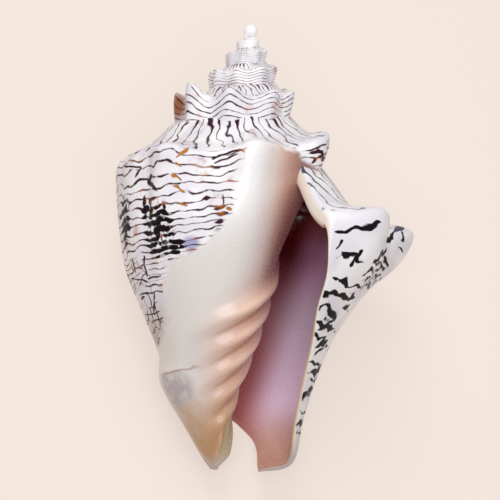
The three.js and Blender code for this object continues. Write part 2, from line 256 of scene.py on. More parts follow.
def outer_profile(turn, along, size):
    """Radius and depth on the outer surface, with its knobs and folds."""
    radius, depth = plain_profile(turn, along)
    shoulder = shoulder_radius(turn)
    out, up = knob_at(turn)
    below = along - SHOULDER_AT
    spread = bell(below / np.where(below < 0, KNOB_REACH_UP, KNOB_REACH_DOWN))
    radius = radius + size.knob_height * shoulder * (out - BETWEEN_KNOBS) * spread
    depth = depth - shoulder * up * bell(below / KNOB_TIP_REACH)
    radius = radius + size.fold_height * fold_at(turn, depth)[0]
    valley = bell((turn - VALLEY_AT) / VALLEY_HALF_WIDTH)
    valley = valley * smooth(*VALLEY_STARTS, along) * smooth(*VALLEY_ENDS, along)
    radius = radius - VALLEY_DEPTH * valley
    pillar = smooth(*PILLAR_TURNS, turn)
    keel = KEEL_HEIGHT * bell((turn - KEEL_AT) / KEEL_HALF_WIDTH)
    keel = keel - GROOVE_DEPTH * bell((turn - GROOVE_AT) / GROOVE_HALF_WIDTH)
    radius = radius + keel * smooth(*KEEL_STARTS, along) * pillar
    radius = radius * (1 - TIP_NARROWING * pillar * smooth(*TIP_STARTS, along) ** 2)
    return np.maximum(radius, LEAST_RADIUS), depth


def inner_profile(turn, along, size, wall=1.0):
    """Radius and depth on the inner surface, which closes on the axis in the solid spire."""
    radius, depth = outer_profile(turn, along, size)
    ra, ua = outer_profile(turn, np.maximum(along - SLOPE_STEP, 0), size)
    rb, ub = outer_profile(turn, np.minimum(along + SLOPE_STEP, 1), size)
    length = np.maximum(np.hypot(rb - ra, ub - ua), SHORTEST)
    thick = wall * size.wall * (1 - SUTURE_THINNING * smooth(THINNING_REACH, 0, along))
    hollow_r = radius - thick * (ub - ua) / length
    hollow_u = depth + thick * (rb - ra) / length
    share = smooth(HOLLOW_FROM, FULLY_HOLLOW, turn)
    inner = np.maximum(AXIS_CORE, AXIS_CORE + (hollow_r - AXIS_CORE) * share)
    return inner, depth + (hollow_u - depth) * share


# How finely each stretch is swept: from turn, to turn, rings in a turn, points along the profile.
STRETCHES = [
    (APEX_TURN, 2.0, 64, 40),
    (2.0, 4.0, 96, 56),
    (4.0, 4.5, 140, 90),
    (4.5, 5.5, 150, 170),
    (5.5, LEANING_FROM, 150, 130),
]
LONGEST_PIECE = 0.5
LIP_POINTS = 130
LIP_RINGS = 34
EDGE_RINGS = 6
EDGE_ROUND = 0.0042  # in turns
LIP_THINNING = 0.4  # of the wall, at the lip
LIP_THINS = (0.75, 1.0)  # where that starts and is full, of the last stretch
FLANGE_THICKENING = 2.4  # of the wall, at the lip's upper end
FLANGE_ALONG = (0.36, 0.22)  # the part of the profile that the flange takes up
FLANGE_GROWS = (0.4, 1.0)  # of the last stretch
EDGE_PINCH = 0.85  # how far the rounded edge closes
STRIPE_RADIUS = 95.0  # the shoulder's radius at which a stripe unit is one length unit

# Left border of the smooth callus, down the front: (across, down) in units from the frame's corner.
CALLUS_EDGE_DOWN = [128, 140, 168, 209, 230, 251, 263, 321, 345, 372, 500]
CALLUS_EDGE_ACROSS = [256, 252, 238, 235, 221, 200, 167, 166, 158, 150, 150]
# Its upper border, along the shoulder: (across, down).
CALLUS_TOP_ACROSS = [240, 252, 273, 297, 304, 345]
CALLUS_TOP_DOWN = [128, 139, 145, 153, 164, 182]
APEX_ACROSS, APEX_DOWN = 251, 28
CALLUS_TURNS = (4.55, 5.62)
CALLUS_BEHIND = -20  # how far behind the axis it reaches, before the turn that follows
CALLUS_INNER_TURN = 5.25
NO_CALLUS = -100.0


class Skin:
    """Vertices, faces and per-vertex facts of the closed solids that make up the shell."""

    FACTS = ("turn", "along", "side", "stripe", "callus", "fold")

    def __init__(self):
        self.points, self.faces, self.piece = [], [], []
        self.facts = {name: [] for name in self.FACTS}
        self.count = 0
        self.pieces = 0

    def add(self, points, faces, **facts):
        self.points.append(points)
        self.faces.extend([tuple(self.count + i for i in face) for face in faces])
        self.piece.extend([self.pieces] * len(faces))
        for name in self.FACTS:
            self.facts[name].append(np.broadcast_to(facts.get(name, 0.0), (len(points),)))
        self.count += len(points)
        self.pieces += 1


def place(turn, radius, depth):
    """Profile points set round the leaning axis, in length units: right, up and front."""
    angle = turn * 2 * np.pi
    x, y, z = radius * np.cos(angle), -depth, radius * np.sin(angle)
    c, s = math.cos(AXIS_LEAN), math.sin(AXIS_LEAN)
    return np.stack([c * x + s * y, -s * x + c * y, z], -1)


def callus_reach(points, turn):
    """How far inside the callus each point is, across the front, in length units."""
    across, down = APEX_ACROSS + points[..., 0], APEX_DOWN - points[..., 1]
    inside = across - np.interp(down, CALLUS_EDGE_DOWN, CALLUS_EDGE_ACROSS)
    inside = np.minimum(inside, down - np.interp(across, CALLUS_TOP_ACROSS, CALLUS_TOP_DOWN))
    front = (turn > CALLUS_TURNS[0]) & (turn < CALLUS_TURNS[1])
    seen = (points[..., 2] > CALLUS_BEHIND) | (turn < CALLUS_INNER_TURN)
    return np.where(front & seen, inside, NO_CALLUS)


def sweep(skin, turns, alongs, size, edge=None, thin=None):
    """One closed stretch: rings out along the outer profile and back along the inner one."""
    rings, count = turns.shape
    flat_turn = turns.ravel()
    flat_along = np.broadcast_to(alongs, turns.shape).ravel()
    outer = np.stack(outer_profile(flat_turn, flat_along, size), -1).reshape(rings, count, 2)
    wall = 1 - FREE_EDGE_THINNING * smooth(*FREE_EDGE, flat_along)
    if thin is not None:
        wall = wall * thin.ravel()
    inner = np.stack(inner_profile(flat_turn, flat_along, size, wall), -1).reshape(rings, count, 2)
    if edge is not None:
        middle = (outer + inner) / 2
        outer = outer + (middle - outer) * edge[:, None, None]
        inner = inner + (middle - inner) * edge[:, None, None]
    plain = np.stack(plain_profile(flat_turn, flat_along), -1).reshape(rings, count, 2)
    length = np.hypot(np.diff(plain[..., 0], axis=1), np.diff(plain[..., 1], axis=1)).cumsum(1)
    stripe = np.concatenate([np.zeros((rings, 1)), length], 1)
    stripe = stripe - stripe[:, np.argmin(abs(alongs - SHOULDER_AT))][:, None]
    stripe = stripe * STRIPE_RADIUS / shoulder_radius(turns)
    crest, crease = fold_at(flat_turn, outer[..., 1].ravel())
    fold = (crest - crease).reshape(rings, count)
    back = np.arange(1, count, 2)[::-1]
    turn = np.concatenate([turns, turns[:, back]], 1)
    along = np.broadcast_to(np.concatenate([alongs, alongs[back]]), turn.shape)
    points = np.concatenate([
        place(turns, outer[..., 0], outer[..., 1]),
        place(turns[:, back], inner[:, back, 0], inner[:, back, 1])], 1)
    side = np.concatenate([np.zeros((rings, count)), np.ones((rings, len(back)))], 1)
    if edge is not None:
        side = side + (0.5 - side) * edge[:, None]
    ring = count + len(back)
    faces = []
    for j in range(rings - 1):
        for i in range(ring):
            a, b = j * ring + i, j * ring + (i + 1) % ring
            faces.append((a, a + ring, b + ring, b))

    def pair(i):
        return count + (count - 1 - i) // 2

    for base, flip in ((0, False), ((rings - 1) * ring, True)):
        for i in range(count - 1):
            face = [i, pair(i), pair(i + 1), i + 1] if pair(i) != pair(i + 1) else [i, pair(i), i + 1]
            face = [base + k for k in face]
            faces.append(tuple(face if flip else face[::-1]))
    callus = np.where(side < 0.5, callus_reach(points, turn), NO_CALLUS)
    skin.add(points.reshape(-1, 3), faces, turn=turn.ravel(), along=along.ravel(), side=side.ravel(),
             stripe=np.concatenate([stripe, stripe[:, back]], 1).ravel(), callus=callus.ravel(),
             fold=np.concatenate([fold, fold[:, back]], 1).ravel())


def add_rod(skin, radius, top, bottom, sides):
    """The solid core on the axis."""
    angle = np.arange(sides) / sides
    rows = [place(angle, np.full(sides, radius), np.full(sides, depth)) for depth in (top, bottom)]
    faces = [(i, (i + 1) % sides, sides + (i + 1) % sides, sides + i) for i in range(sides)]
    faces += [tuple(range(sides))[::-1], tuple(range(sides, 2 * sides))]
    skin.add(np.concatenate(rows), faces, turn=CORE_TURN, along=CORE_ALONG, callus=NO_CALLUS)


def add_nub(skin, radius, top, sides, rows):
    """The rounded first whorl at the apex."""
    points = [place(np.zeros(1), np.zeros(1), np.full(1, top))]
    angle = np.arange(sides) / sides
    for k in range(1, rows):
        polar = math.pi * k / rows
        points.append(place(angle, np.full(sides, radius * math.sin(polar)),
                            np.full(sides, top + radius - radius * math.cos(polar))))
    points.append(place(np.zeros(1), np.zeros(1), np.full(1, top + 2 * radius)))
    last = 1 + (rows - 1) * sides
    faces = []
    for i in range(sides):
        n = (i + 1) % sides
        faces.append((0, 1 + n, 1 + i))
        faces.append((last, last - sides + i, last - sides + n))
        for k in range(rows - 2):
            a, b = 1 + k * sides + i, 1 + k * sides + n
            faces.append((a, b, b + sides, a + sides))
    skin.add(np.concatenate(points), faces, turn=NUB_TURN, along=NUB_ALONG, callus=NO_CALLUS)


def grow(size):
    """Every stretch of the shell, from the apex to the lip."""
    skin = Skin()
    for start, stop, per_turn, count in STRETCHES:
        alongs = np.linspace(0, 1, count)
        while start < stop - SHORTEST:
            end = min(stop, start + LONGEST_PIECE)
            rings = max(3, round((end - start) * per_turn) + 1)
            turns = np.linspace(start, end, rings)[:, None] + np.zeros((1, count))
            sweep(skin, turns, alongs, size)
            start = end
    alongs = np.linspace(0, 1, LIP_POINTS)
    lip = LIP_TURN - curve_rows(CONTROL_AT, LIP_SETBACK, alongs)
    share = np.linspace(0, 1, LIP_RINGS)[:, None]
    turns = LEANING_FROM + (lip[None, :] - LEANING_FROM) * share
    bend = np.linspace(0, math.pi / 2, EDGE_RINGS + 1)[1:]
    turns = np.concatenate([turns, lip[None, :] + EDGE_ROUND * np.sin(bend)[:, None]])
    edge = np.concatenate([np.zeros(LIP_RINGS), (1 - np.cos(bend)) * EDGE_PINCH])
    near_lip = np.concatenate([share, np.ones((EDGE_RINGS, 1))])
    flange = FLANGE_THICKENING * smooth(*FLANGE_ALONG, alongs) * smooth(*FLANGE_GROWS, near_lip)
    thin = 1 - LIP_THINNING * smooth(*LIP_THINS, near_lip) + flange
    sweep(skin, turns, alongs, size, edge, thin)
    add_rod(skin, CORE_ROD, CORE_TOP, CORE_END, CORE_SIDES)
    add_nub(skin, NUB_RADIUS, NUB_TOP, NUB_SIDES, NUB_ROWS)
    return skin


# From length units in the upright frame to the frame the shell lies in.
LAY = Matrix.Rotation(LAY_PITCH, 3, "X") @ Matrix.Rotation(LAY_ROLL, 3, "Y")
REST_LIFT = 0.00026  # keeps the raised growth lines of the back out of the floor


def lay(points, unit):
    """Upright points, in length units, as they lie on the floor, in metres."""
    turned = np.asarray(points) @ np.asarray(LAY).T
    return turned * unit + np.asarray(APEX_PLACE) + np.array([0, 0, REST_LIFT])


def link(tree, socket, value):
    """Joins a socket to another node's output, or sets it to a constant."""
    if isinstance(value, bpy.types.NodeSocket):
        tree.links.new(value, socket)
    else:
        socket.default_value = value


class Weave:
    """Short words for the nodes of one shader or geometry tree."""

    def __init__(self, tree):
        self.tree = tree

    def node(self, kind, **settings):
        made = self.tree.nodes.new(kind)
        for name, value in settings.items():
            setattr(made, name, value)
        return made

    def math(self, operation, *values, clamp=False):
        made = self.node("ShaderNodeMath", operation=operation, use_clamp=clamp)
        for socket, value in zip(made.inputs, values):
            link(self.tree, socket, value)
        return made.outputs[0]

    def add(self, a, b):
        return self.math("ADD", a, b)

    def sub(self, a, b):
        return self.math("SUBTRACT", a, b)

    def mul(self, a, b):
        return self.math("MULTIPLY", a, b)

    def most(self, a, b):
        return self.math("MAXIMUM", a, b)

    def least(self, a, b):
        return self.math("MINIMUM", a, b)

    def rise(self, x, low, high, bottom=0.0, top=1.0):
        """A smooth step from bottom at low to top at high."""
        made = self.node("ShaderNodeMapRange", interpolation_type="SMOOTHSTEP")
        for socket, value in zip(made.inputs, (x, low, high, bottom, top)):
            link(self.tree, socket, value)
        return made.outputs[0]

    def combine(self, x, y, z=0.0):
        made = self.node("ShaderNodeCombineXYZ")
        for socket, value in zip(made.inputs, (x, y, z)):
            link(self.tree, socket, value)
        return made.outputs[0]

    def noise(self, vector, scale, detail=2.0, roughness=0.5):
        made = self.node("ShaderNodeTexNoise", noise_dimensions="3D")
        link(self.tree, made.inputs["Vector"], vector)
        made.inputs["Scale"].default_value = scale
        made.inputs["Detail"].default_value = detail
        made.inputs["Roughness"].default_value = roughness
        return made.outputs[0]

    def web(self, vector, scale):
        """Distance to the nearest edge of a net of cells."""
        made = self.node("ShaderNodeTexVoronoi", feature="DISTANCE_TO_EDGE", voronoi_dimensions="2D")
        link(self.tree, made.inputs["Vector"], vector)
        made.inputs["Scale"].default_value = scale
        return made.outputs["Distance"]

    def tint(self, share, below, above):
        made = self.node("ShaderNodeMix", data_type="RGBA")
        link(self.tree, made.inputs[0], share)
        link(self.tree, made.inputs[6], below)
        link(self.tree, made.inputs[7], above)
        return made.outputs[2]

    def fact(self, name):
        made = self.node("ShaderNodeAttribute", attribute_name=name)
        return made.outputs["Fac"]

    def ramp(self, x, stops):
        made = self.node("ShaderNodeValToRGB")
        made.color_ramp.interpolation = "EASE"
        elements = made.color_ramp.elements
        while len(elements) < len(stops):
            elements.new(0.5)
        for element, (at, colour) in zip(elements, stops):
            element.position = at
            element.color = colour
        link(self.tree, made.inputs[0], x)
        return made.outputs[0]


def tone(red, green, blue):
    """A colour as the eye names it, 0 to 255, in linear light."""
    line = [v / 255 for v in (red, green, blue)]
    return tuple(v / 12.92 if v <= 0.04045 else ((v + 0.055) / 1.055) ** 2.4 for v in line) + (1.0,)


def upright_place(weave, unit):
    """Across, down and front in length units, whatever way the shell lies."""
    turn_back = LAY.transposed()
    mapping = weave.node("ShaderNodeMapping", vector_type="POINT")
    mapping.inputs["Scale"].default_value = (1 / unit,) * 3
    mapping.inputs["Rotation"].default_value = turn_back.to_euler("XYZ")
    mapping.inputs["Location"].default_value = (
        -(turn_back @ APEX_PLACE) / unit + Vector((APEX_ACROSS, -APEX_DOWN, 0)))
    coordinates = weave.node("ShaderNodeTexCoord")
    weave.tree.links.new(coordinates.outputs["Object"], mapping.inputs["Vector"])
    parts = weave.node("ShaderNodeSeparateXYZ")
    weave.tree.links.new(mapping.outputs[0], parts.inputs[0])
    down = weave.mul(parts.outputs[1], -1.0)
    return parts.outputs[0], down, parts.outputs[2], mapping.outputs[0]


# Noises over the upright frame: scale and detail.
NOISES = {
    "slow": (0.03, 1.0), "patch": (0.052, 1.0), "sway": (0.06, 1.0), "gaps": (0.075, 1.0),
    "broken": (0.1, 1.0), "quick": (0.11, 2.0), "blotch": (0.14, 1.0), "swell": (0.16, 1.0),
    "fine": (0.45, 2.0), "grain": (1.6, 2.0),
}
NOISE_SPAN = (0.3, 0.7)  # most of what a noise gives lies between these
FRONT_HALF = (0.0, 18.0)  # the front's markings come in this far before the axis
OVAL_EDGE = 0.9
CALLUS_BORDER = (-4.0, 5.0)
CALLUS_WAVER = 18.0
INNER_SIDE = (0.6, 0.85)
OUTER_SIDE = (0.3, 0.12)


class Surface:
    """What the finish knows of each point of the skin: its place, its facts and some noises."""

    def __init__(self, weave, unit):
        self.weave = weave
        self.across, self.down, self.front, self.spot = upright_place(weave, unit)
        for name in Skin.FACTS:
            setattr(self, name, weave.fact(name))
        for name, (scale, detail) in NOISES.items():
            setattr(self, name, weave.noise(self.spot, scale, detail))
        self.facing = weave.rise(self.front, *FRONT_HALF)
        self.swelling = weave.rise(self.quick, *NOISE_SPAN)
        border = weave.add(self.callus, self.swing(self.quick, CALLUS_WAVER))
        self.bare = weave.rise(border, *CALLUS_BORDER)
        self.inside = weave.rise(self.side, *INNER_SIDE)

    def swing(self, value, reach):
        """A noise value about zero, times its reach."""
        return self.weave.mul(self.weave.sub(value, 0.5), reach)

    def oval(self, x, y, half_width, half_height, edge=1.0):
        """1 in the middle of an oval on the front, 0 outside it."""
        w = self.weave
        reach = w.node("ShaderNodeVectorMath", operation="LENGTH")
        dx = w.mul(w.sub(self.across, float(x)), 1 / half_width)
        dy = w.mul(w.sub(self.down, float(y)), 1 / half_height)
        link(w.tree, reach.inputs[0], w.combine(dx, dy))
        return w.rise(reach.outputs["Value"], OVAL_EDGE + edge / 2, OVAL_EDGE - edge / 2)

    def from_line(self, phase):
        """How far a phase is from the line in the middle of each of its waves."""
        w = self.weave
        return w.math("ABSOLUTE", w.sub(w.math("FRACT", phase), 0.5))

    def layered(self, base, layers):
        """Colours laid over a base one after the other, each with its share."""
        for share, colour in layers:
            base = self.weave.tint(share, base, colour)
        return base


def product(weave, *factors):
    total = factors[0]
    for factor in factors[1:]:
        total = weave.mul(total, factor)
    return total


def most_of(weave, *values):
    top = values[0]
    for value in values[1:]:
        top = weave.most(top, value)
    return top


# Pools of ink on the left of the body: across, down, half width, half height.
INK_POOLS = [
    (161, 231, 14, 28), (126, 228, 5, 19), (150, 212, 7, 10), (178, 247, 9, 8), (127, 205, 5, 7),
]
BLOTCHES = (0.32, 0.52)


def ink_pools(s):
    """The pools, and the blots in them where the lines run together."""
    w = s.weave
    pool = w.mul(most_of(w, *[s.oval(*each) for each in INK_POOLS]), s.facing)
    return pool, w.mul(pool, w.rise(s.blotch, *BLOTCHES))


# Spiral lines: spacing and waver in stripe units, half width and the rest in spacings.
LINE_SPACING = 8.2
CROWDED_FROM, CROWDING = 45.0, 0.0006
LINE_WAVER_SLOW, LINE_WAVER = 1.6, 0.8
LINE_HALF, LINE_SWELL, BLOT_SWELL = 0.045, 0.09, 0.42
LINE_EDGE = 0.07
LINE_GAPS = (0.3, 0.4)
LINES_START = (-6.0, 2.0)
LINES_END = (124.0, 98.0)
LINES_END_WAVER = 60.0
LINES_LIP_END = (5.9, 5.86)


def spiral_lines(s, pool, blot):
    """Lines that keep their place below the shoulder as the shell grows."""
    w = s.weave
    crowding = w.math("POWER", w.most(w.sub(s.stripe, CROWDED_FROM), 0.0), 2.0)
    phase = w.add(w.mul(s.stripe, 1 / LINE_SPACING), w.mul(crowding, CROWDING))
    phase = w.add(phase, w.add(s.swing(s.slow, LINE_WAVER_SLOW), s.swing(s.sway, LINE_WAVER)))
    half = w.add(w.mul(s.swelling, LINE_SWELL), LINE_HALF)
    half = w.add(half, w.mul(blot, BLOT_SWELL))
    lines = w.rise(w.sub(half, s.from_line(phase)), -LINE_EDGE, LINE_EDGE)
    end = w.add(s.stripe, s.swing(s.slow, LINES_END_WAVER))
    return product(w, lines, w.most(w.rise(s.gaps, *LINE_GAPS), pool), w.rise(s.stripe, *LINES_START),
                   w.rise(end, *LINES_END), w.rise(s.turn, *LINES_LIP_END))


# Lines across the ramp: how many in a turn, waver and slant, widths, clots at the suture, ends.
RAYS_A_TURN = 42.0
RAY_WAVER, RAY_SLANT = 1.7, 0.035
RAY_CHANCE_STEP = 3.7
RAY_HALF, RAY_SWELL, CLOT_SWELL = 0.04, 0.06, 0.22
CLOT_ALONG, CLOT_CHANCE = (0.16, 0.03), (0.42, 0.58)
RAY_ENDS, RAY_END_SPREAD, RAY_END_CHANCE = -3.0, -9.0, (0.35, 0.65)
RAY_END_EDGE = (1.5, -1.5)


def ramp_rays(s):
    """Lines that run across the ramp, clotted at the suture, each of its own length."""
    w = s.weave
    phase = w.add(w.mul(s.turn, RAYS_A_TURN), w.add(s.swing(s.sway, RAY_WAVER), w.mul(s.stripe, RAY_SLANT)))
    count = w.math("FLOOR", phase)
    own = w.noise(w.combine(w.mul(count, RAY_CHANCE_STEP), 0.0), 1.0, 0.0)
    clot = w.mul(w.rise(s.along, *CLOT_ALONG), w.rise(own, *CLOT_CHANCE))
    half = w.add(w.mul(s.swelling, RAY_SWELL), w.add(RAY_HALF, w.mul(clot, CLOT_SWELL)))
    rays = w.rise(w.sub(half, s.from_line(phase)), -LINE_EDGE, LINE_EDGE)
    end = w.add(RAY_ENDS, w.mul(w.rise(own, *RAY_END_CHANCE), RAY_END_SPREAD))
    return w.mul(rays, w.rise(w.sub(s.stripe, end), *RAY_END_EDGE))


# The net below the pools: courses in stripe units, joints in turns, and where it shows.
COURSE_HEIGHT, COURSE_WAVER_SLOW, COURSE_WAVER = 13.0, 1.2, 0.9
JOINTS_A_TURN, JOINT_WAVER, JOINT_STAGGER = 44.0, 0.8, 0.37
LEVEL_LINE, LEVEL_GAPS = (0.09, 0.03), (0.4, 0.48)
UPRIGHT_LINE, UPRIGHT_CHANCE = (0.09, 0.04), (0.48, 0.52)
CHANCE_STEPS = (5.3, 3.1)
NET_STARTS, NET_ENDS, NET_END_WAVER = (84.0, 94.0), (182.0, 170.0), 40.0
NET_TURNS_FROM, NET_TURNS_TO = (5.4, 5.42), (5.7, 5.6)
NET_IN_POOLS = 0.8


def brick_net(s, pool):
    """A sparse net of level and upright lines below the pools, like courses of bricks."""
    w = s.weave
    waver = w.add(s.swing(s.slow, COURSE_WAVER_SLOW), s.swing(s.sway, COURSE_WAVER))
    course_phase = w.add(w.mul(s.stripe, 1 / COURSE_HEIGHT), waver)
    course = w.math("FLOOR", w.add(course_phase, 0.5))
    waver = w.add(s.swing(s.sway, JOINT_WAVER), w.mul(course, JOINT_STAGGER))
    joint_phase = w.add(w.mul(s.turn, JOINTS_A_TURN), waver)
    joint = w.math("FLOOR", w.add(joint_phase, 0.5))
    level = w.mul(w.rise(s.from_line(course_phase), *LEVEL_LINE), w.rise(s.broken, *LEVEL_GAPS))
    cell = w.combine(w.mul(course, CHANCE_STEPS[0]), w.mul(joint, CHANCE_STEPS[1]))
    upright = w.mul(w.rise(s.from_line(joint_phase), *UPRIGHT_LINE),
                    w.rise(w.noise(cell, 1.0, 0.0), *UPRIGHT_CHANCE))
    end = w.add(s.stripe, s.swing(s.slow, NET_END_WAVER))
    low_left = product(
        w, w.rise(s.stripe, *NET_STARTS), w.rise(end, *NET_ENDS), w.rise(s.turn, *NET_TURNS_FROM))
    shown = w.most(low_left, w.mul(pool, NET_IN_POOLS))
    return product(w, w.most(level, upright), shown, w.rise(s.turn, *NET_TURNS_TO))


# Letters on the back: cells in a turn and in a stripe unit, waver, stroke width and edge, patches.
LETTERS_A_TURN, LETTERS_ACROSS = 24.0, 0.052
LETTER_WAVER, LETTER_WAVER_SLOW = 1.2, 1.6
LETTER_WIDTH, LETTER_EDGE, LETTER_PATCHES = 0.16, (-0.02, 0.03), (0.42, 0.52)
LETTERS_BELOW, LETTERS_FROM, LETTERS_TO = (20.0, 50.0), (5.54, 5.62), (5.99, 5.96)


def back_letters(s):
    """Broken angular strokes on the back."""
    w = s.weave
    across = w.add(w.mul(s.turn, LETTERS_A_TURN), s.swing(s.quick, LETTER_WAVER))
    along = w.add(w.mul(s.stripe, LETTERS_ACROSS), s.swing(s.slow, LETTER_WAVER_SLOW))
    net = w.web(w.combine(across, along), 1.0)
    letters = w.rise(w.sub(w.mul(s.swelling, LETTER_WIDTH), net), *LETTER_EDGE)
    return product(w, letters, w.rise(s.patch, *LETTER_PATCHES), w.rise(s.stripe, *LETTERS_BELOW),
                   w.rise(s.turn, *LETTERS_FROM), w.rise(s.turn, *LETTERS_TO))


# Dark strokes and rusty ones on the left of the body: across and down of both ends, half width.
BODY_STROKES = [
    (123, 166, 142, 168, 1.0), (142, 168, 136, 177, 1.0), (212, 160, 241, 152, 1.1),
    (216, 164, 238, 157, 0.9), (241, 152, 247, 158, 1.1), (206, 200, 209, 200, 4.2),
    (224, 196, 224, 207, 0.9), (215, 209, 226, 207, 2.0), (218, 215, 227, 213, 1.9),
    (217, 222, 224, 220, 2.2), (217, 230, 222, 229, 2.0), (213, 236, 213, 241, 1.1),
    (149, 182, 158, 192, 1.5), (146, 197, 145, 206, 2.0), (165, 203, 166, 210, 1.5),
    (134, 259, 136, 272, 0.8), (146, 256, 147, 276, 0.8), (142, 268, 142, 269, 1.4),
    (132, 279, 149, 281, 0.8), (148, 278, 163, 276, 0.8), (147, 285, 163, 284, 0.8),
    (155, 292, 155, 314, 0.7), (141, 294, 164, 290, 0.8), (146, 315, 160, 311, 0.8),
    (152, 322, 164, 317, 0.8),
]
RUST_STROKES = [
    (188, 153, 178, 160, 1.1), (176, 166, 183, 168, 1.4), (174, 176, 182, 182, 1.2),
    (176, 187, 186, 192, 1.5), (180, 203, 187, 207, 1.5), (190, 151, 180, 156, 0.9),
    (206, 256, 208, 262, 1.4), (177, 259, 178, 265, 0.9), (228, 209, 233, 210, 1.2),
]
# Strokes on the outside of the lip and on the last knobs: across and down of both ends, half width.
LIP_STROKES = [
    (335, 232, 356, 230, 2.0), (352, 230, 377, 224, 3.2), (332, 247, 341, 244, 1.6),
    (337, 256, 352, 254, 2.2), (352, 254, 358, 261, 2.2), (349, 265, 360, 250, 1.8),
    (330, 279, 338, 279, 2.2), (338, 279, 350, 288, 2.6), (350, 288, 358, 288, 2.0),
    (320, 293, 331, 291, 2.2), (331, 291, 345, 298, 2.5), (345, 298, 352, 294, 2.0),
    (317, 305, 328, 303, 2.0), (328, 303, 333, 320, 2.3), (313, 321, 334, 329, 2.6),
    (318, 329, 330, 319, 2.1), (311, 333, 326, 336, 2.4), (314, 345, 325, 338, 2.4),
    (308, 361, 322, 365, 2.5), (310, 373, 323, 368, 2.4), (311, 379, 318, 377, 2.2),
    (303, 397, 308, 390, 2.0), (308, 390, 313, 386, 2.0), (316, 352, 326, 346, 2.2),
    (298, 410, 307, 413, 1.6), (297, 424, 305, 420, 1.6), (296, 433, 304, 429, 1.5),
    (387, 242, 396, 232, 2.2), (396, 232, 407, 227, 2.2), (388, 234, 394, 240, 1.6),
    (404, 232, 406, 242, 1.6), (399, 246, 402, 252, 1.5), (384, 256, 388, 268, 1.6),
    (372, 272, 384, 268, 1.5), (364, 280, 380, 276, 1.4), (360, 286, 374, 284, 1.4),
    (376, 260, 381, 269, 1.4), (372, 262, 384, 250, 2.0), (362, 275, 371, 268, 2.0),
    (340, 312, 348, 304, 1.8), (309, 152, 326, 158, 1.9), (310, 163, 322, 160, 1.6),
    (262, 143, 268, 150, 1.2),
]
STROKE_TAPER = 0.55  # how fast a stroke thins past its end
STROKE_EDGE = (-0.6, 0.5)
STROKE_BEND = 0.085  # scale of the noise that bends the strokes
# How far the strokes of each table are bent, and how much they swell.
LIP_BEND, LIP_SWELL = 11.0, 3.0
BODY_BEND, BODY_SWELL = 4.0, 1.4
RUST_BEND, RUST_SWELL = 6.0, 2.4
# Where they show: from the lip's turn on, on the knob behind it, and on the left of the body.
STROKES_ON_LIP, STROKES_ON_KNOB = (5.87, 5.9), (5.19, 5.15)
STROKES_LEFT_FROM, STROKES_LEFT_TO = (5.2, 5.22), (5.62, 5.58)


def stroke_ink(weave, point, strokes):
    """Signed nearness to the closest stroke: above zero inside one. The point's third value is 1."""
    nearest = []
    for x0, y0, x1, y1, half in strokes:
        start, run = Vector((x0, y0)), Vector((x1 - x0, y1 - y0))
        heading, middle = run.normalized(), start + run / 2
        reaches = []
        for way in (heading, heading.orthogonal()):
            part = weave.node("ShaderNodeVectorMath", operation="DOT_PRODUCT")
            link(weave.tree, part.inputs[0], point)
            part.inputs[1].default_value = (way.x, way.y, -way.dot(middle))
            reaches.append(weave.math("ABSOLUTE", part.outputs["Value"]))
        past_end = weave.most(weave.sub(reaches[0], run.length / 2 - half), 0.0)
        beyond = weave.math("MULTIPLY_ADD", past_end, STROKE_TAPER, reaches[1])
        nearest = [most_of(weave, *nearest, weave.sub(half, beyond))]
    return nearest[0]


def single_strokes(s):
    """Strokes bent and swollen by slow noise: bold on the lip, thin on the body, and rusty ones."""
    w = s.weave
    bend = w.node("ShaderNodeTexNoise", noise_dimensions="3D")
    link(w.tree, bend.inputs["Vector"], s.spot)
    bend.inputs["Scale"].default_value = STROKE_BEND
    bend.inputs["Detail"].default_value = 0.0

    def strokes_of(table, reach, swelling):
        wobble = w.node("ShaderNodeVectorMath", operation="MULTIPLY_ADD")
        link(w.tree, wobble.inputs[0], bend.outputs["Color"])
        wobble.inputs[1].default_value = (reach, reach, 0)
        link(w.tree, wobble.inputs[2], w.combine(w.sub(s.across, reach / 2), w.sub(s.down, reach / 2), 1.0))
        near = stroke_ink(w, wobble.outputs[0], table)
        return w.rise(w.add(near, s.swing(s.swell, swelling)), *STROKE_EDGE)

    on_right = w.most(w.rise(s.turn, *STROKES_ON_LIP), w.rise(s.turn, *STROKES_ON_KNOB))
    on_left = product(w, w.rise(s.turn, *STROKES_LEFT_FROM), w.rise(s.turn, *STROKES_LEFT_TO), s.facing)
    on_lip = w.mul(strokes_of(LIP_STROKES, LIP_BEND, LIP_SWELL), on_right)
    dark = w.most(on_lip, w.mul(strokes_of(BODY_STROKES, BODY_BEND, BODY_SWELL), on_left))
    return dark, w.mul(strokes_of(RUST_STROKES, RUST_BEND, RUST_SWELL), on_left)


MARKED_FROM = (1.0, 1.8)  # turns between which the markings come in
SHADE_PATCHES = (0.35, 0.65)
# The grey band round the lower end, the rusty smears, the bluish patch and the brown knob.
FOOT_BELOW, FOOT_FROM = (120.0, 165.0), (5.3, 5.42)
SMEAR_PATCHES, SMEAR_SPOTS = (0.52, 0.68), (0.42, 0.7)
SMEAR_SHARE, SMEARS_TO = 0.45, (5.64, 5.56)
BLUE_PATCH, BLUE_SHARE = (192, 243, 9, 7), 0.75
BROWN_KNOB, BROWN_KNOB_TO = (178, 106, 9, 14), (4.75, 4.7)
# Where the ink is rusty, black, slate and paler.
RUST_PATCHES, RUST_BELOW = (0.54, 0.66), (0.0, 6.0)
BLACK_BLOTS, BLACK_FROM = (0.2, 0.5), (5.85, 5.93)
SLATE_ABOVE, SLATE_FROM, SLATE_ACROSS = (-2.0, -6.0), (5.95, 6.0), (285.0, 310.0)
DUSK_TURNS, DUSK_SHARE = (3.9, 2.6), 0.7


